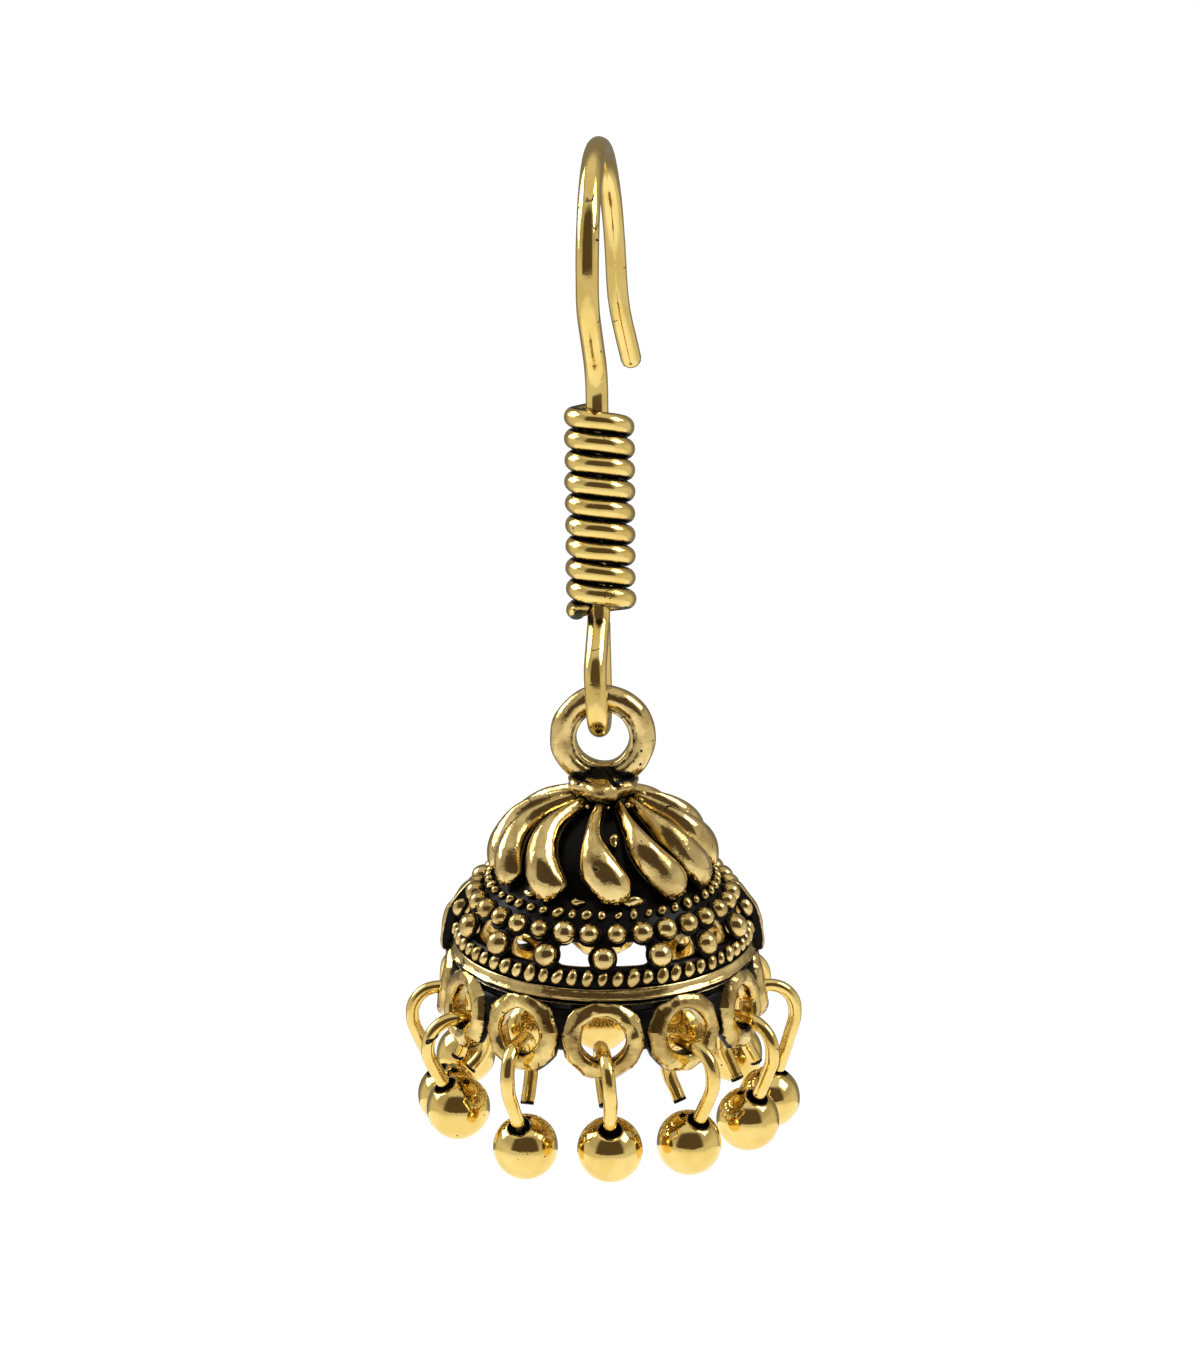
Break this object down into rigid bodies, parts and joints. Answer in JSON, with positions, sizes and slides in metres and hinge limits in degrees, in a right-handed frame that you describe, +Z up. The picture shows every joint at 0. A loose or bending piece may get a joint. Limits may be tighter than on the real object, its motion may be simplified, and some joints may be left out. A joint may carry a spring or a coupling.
{
  "type": "jhumka earring",
  "caption": "Drop earring: an ear hook with a wrapped coil carries a hollow cast bell with swirled petals, a pierced beaded rim and a fringe of ball drops on wire loops.",
  "frame": {"origin": "underside of the hook's arch, where it sits in the ear lobe", "axes": "+Z up along the hanging earring, -Y to the front, the hook's arch runs back towards +Y"},
  "size_m": [0.019, 0.0222, 0.0465],
  "materials": {
    "hook_wire": "polished golden wire with small pits",
    "coil_wire": "polished golden wire, blackened between the turns",
    "cast_bell": "cast, polished on the high places and oxidised black in the recesses",
    "drop_wire": "polished golden wire, blackened in the bends",
    "drop_ball": "polished, pitted, blackened round the drilled mouth"
  },
  "bodies": {
    "hook": {"ear_hook": "hook_wire", "coil_wrap": "coil_wire"},
    "drop": {"bell": "cast_bell", "drop_wire_01": "drop_wire", "drop_wire_02": "drop_wire", "drop_wire_03": "drop_wire", "drop_wire_04": "drop_wire", "drop_wire_05": "drop_wire", "drop_wire_06": "drop_wire", "drop_wire_07": "drop_wire", "drop_wire_08": "drop_wire", "drop_wire_09": "drop_wire", "drop_wire_10": "drop_wire", "drop_wire_11": "drop_wire", "drop_wire_12": "drop_wire", "drop_ball_01": "drop_ball", "drop_ball_02": "drop_ball", "drop_ball_03": "drop_ball", "drop_ball_04": "drop_ball", "drop_ball_05": "drop_ball", "drop_ball_06": "drop_ball", "drop_ball_07": "drop_ball", "drop_ball_08": "drop_ball", "drop_ball_09": "drop_ball", "drop_ball_10": "drop_ball", "drop_ball_11": "drop_ball", "drop_ball_12": "drop_ball"}
  },
  "joints": [
    {"name": "bell_swing", "type": "hinge", "parent": "hook", "child": "drop", "pos_m": [0, -0.00576, -0.02531], "axis": [0, 1, 0], "range_deg": [-100, 100]}
  ]
}
